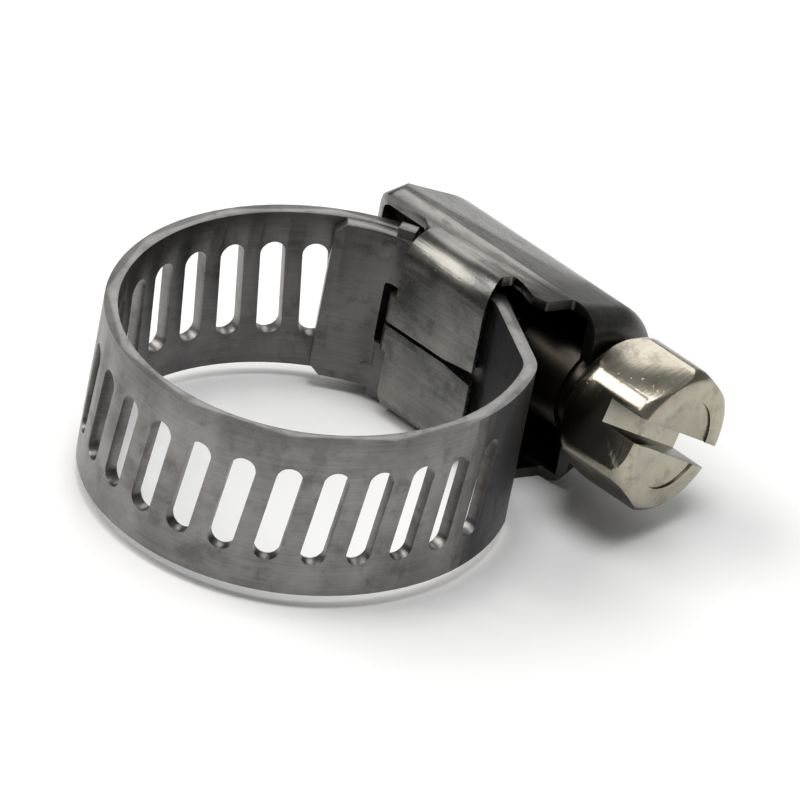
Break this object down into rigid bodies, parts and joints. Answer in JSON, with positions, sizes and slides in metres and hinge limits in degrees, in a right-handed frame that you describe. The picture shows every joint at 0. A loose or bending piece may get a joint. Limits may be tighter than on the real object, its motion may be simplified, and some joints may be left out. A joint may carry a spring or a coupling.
{
  "type": "worm-drive hose clamp",
  "caption": "Small perforated-band hose clamp tightened by a slotted hex-head worm screw held in a wrapped sheet housing.",
  "frame": {"origin": "centre of the hose seat, on the hose's axis, half way across the band", "axes": "+Z along the hose's axis; +Y from the hose to the housing; +X along the screw, from the housing to the hex head"},
  "size_m": [0.0207, 0.0254, 0.0094],
  "materials": {
    "band": "rolled stainless strip, finely brushed round the loop, bright sheared edges",
    "housing": "pressed stainless sheet, dull grey with bright bends",
    "screw": "plated, satin bright"
  },
  "bodies": {
    "clamp": {"housing": "housing", "band_loop": "band"},
    "screw": {"worm_screw": "screw"},
    "free_end": {"band_free_end": "band"}
  },
  "joints": [
    {"name": "screw_turn", "type": "hinge", "parent": "clamp", "child": "screw", "pos_m": [0.006, 0.01261, 0], "axis": [-1, 0, 0], "range_deg": [-360, 360]},
    {"name": "band_feed", "type": "slide", "parent": "clamp", "child": "free_end", "axis": [1, 0, 0], "range_m": [-0.002, 0.002]}
  ],
  "couplings": [
    {"joint": "screw_turn", "follows": "band_feed", "rad_per_m": 3141.6}
  ]
}
